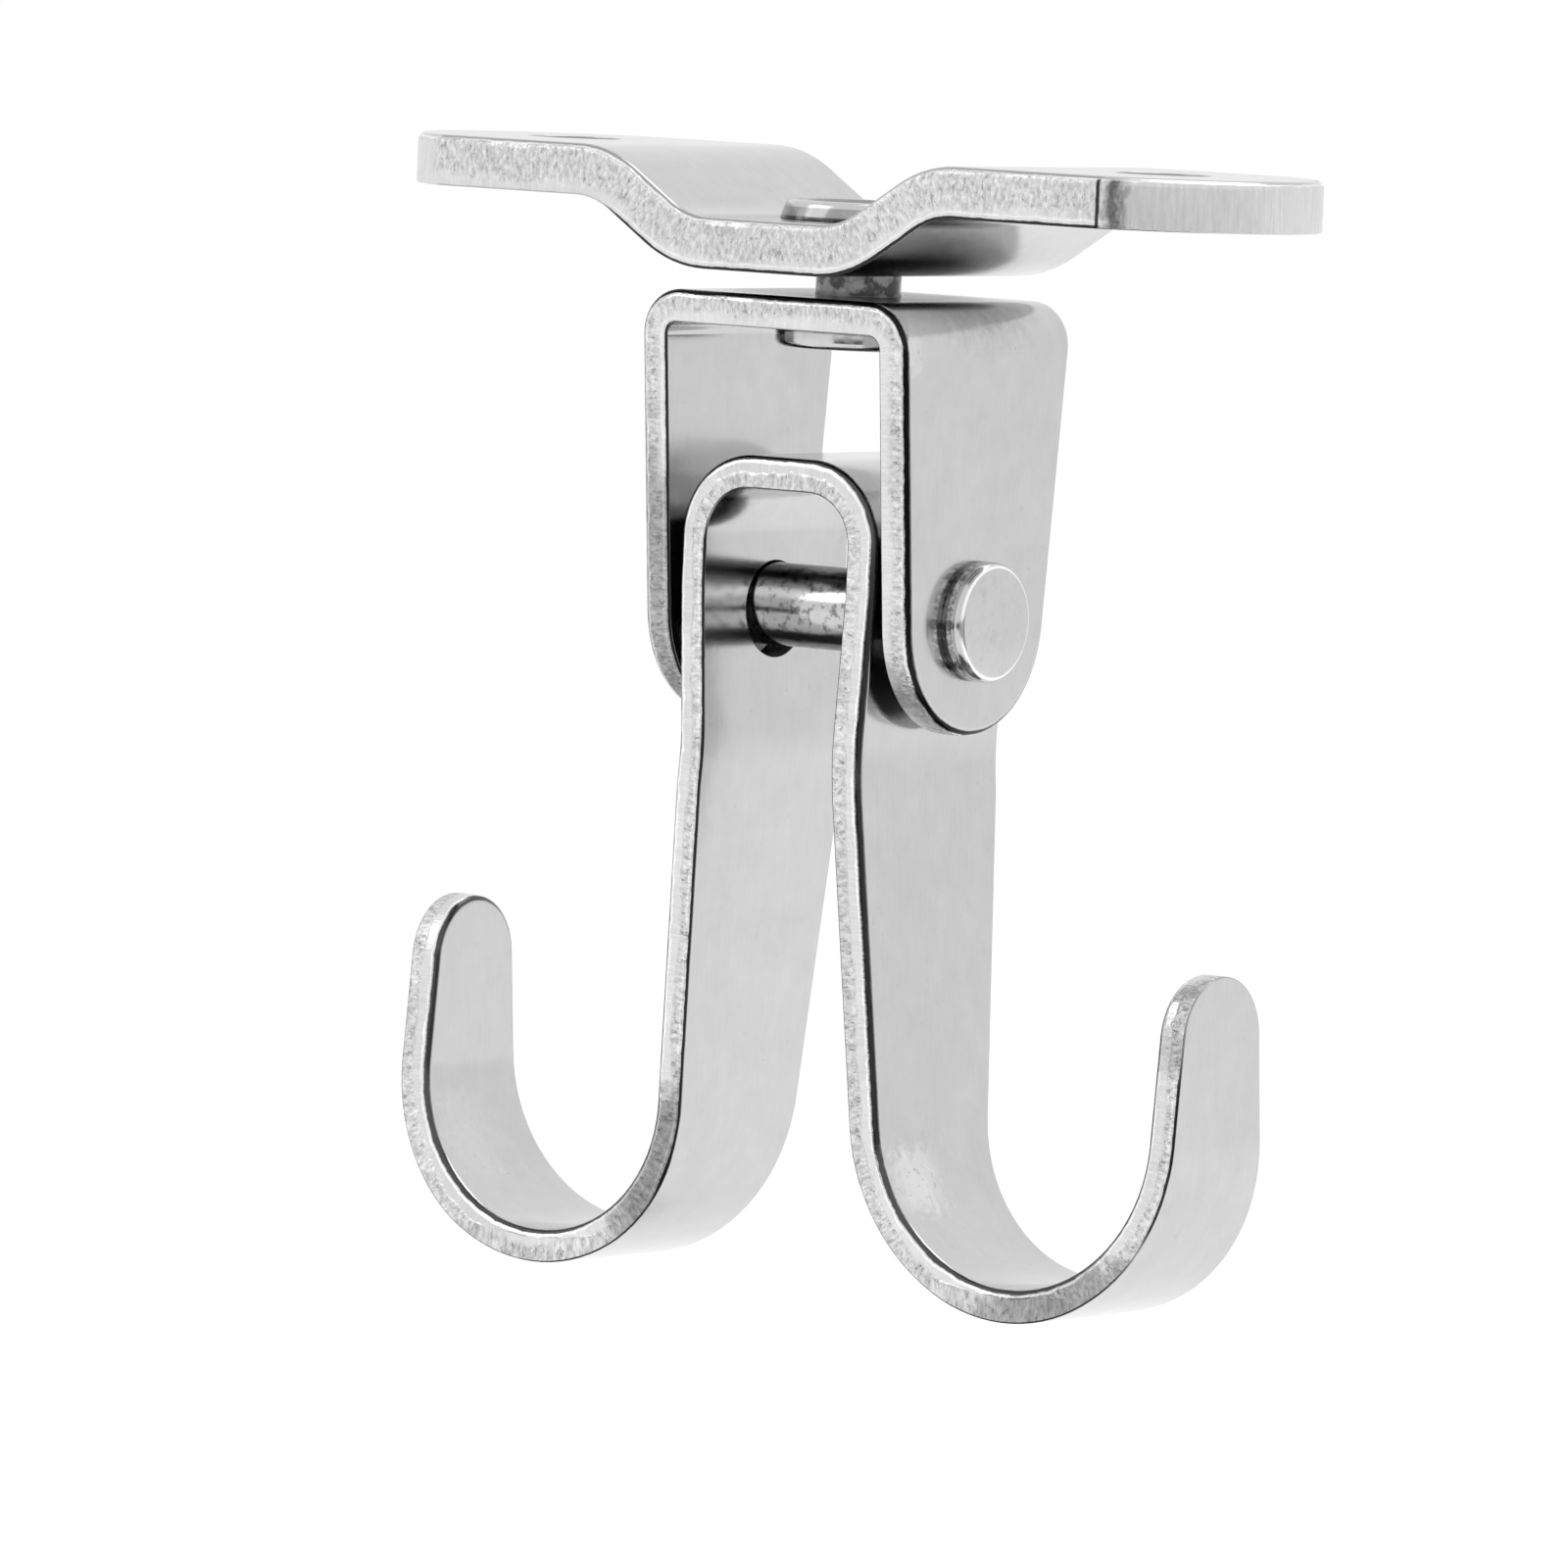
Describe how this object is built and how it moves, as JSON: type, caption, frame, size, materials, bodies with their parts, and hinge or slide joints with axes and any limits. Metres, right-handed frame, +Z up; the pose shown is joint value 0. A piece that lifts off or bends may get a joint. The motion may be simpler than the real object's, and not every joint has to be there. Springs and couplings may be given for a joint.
{
  "type": "double swivel ceiling hook",
  "caption": "Screw-on ceiling hook of polished stainless strip: a gull-wing plate, a bracket that swivels under it on a rivet and a double hook that swings on a cross pin.",
  "frame": {"origin": "midway between the two screw holes, in the plane of the ceiling that the plate's wings lie against", "axes": "+X along the plate, from one screw hole to the other; +Y across the plate; +Z up, into the ceiling"},
  "size_m": [0.0486, 0.0156, 0.053],
  "materials": {
    "plate_steel": "polished faces, sheared edges",
    "rivet_steel": "polished",
    "bracket_steel": "polished faces, sheared edges",
    "pin_steel": "polished",
    "hook_steel": "polished faces, sheared edges"
  },
  "bodies": {
    "mount": {"ceiling_plate": "plate_steel", "swivel_rivet": "rivet_steel"},
    "swivel": {"swivel_bracket": "bracket_steel", "pivot_pin": "pin_steel"},
    "hook": {"double_hook": "hook_steel"}
  },
  "joints": [
    {"name": "swivel_turn", "type": "hinge", "parent": "mount", "child": "swivel", "pos_m": [0, 0, -0.006], "axis": [0, 0, 1], "continuous": true},
    {"name": "hook_swing", "type": "hinge", "parent": "swivel", "child": "hook", "pos_m": [0, 0, -0.0212], "axis": [1, 0, 0], "range_deg": [-118, 118]}
  ]
}
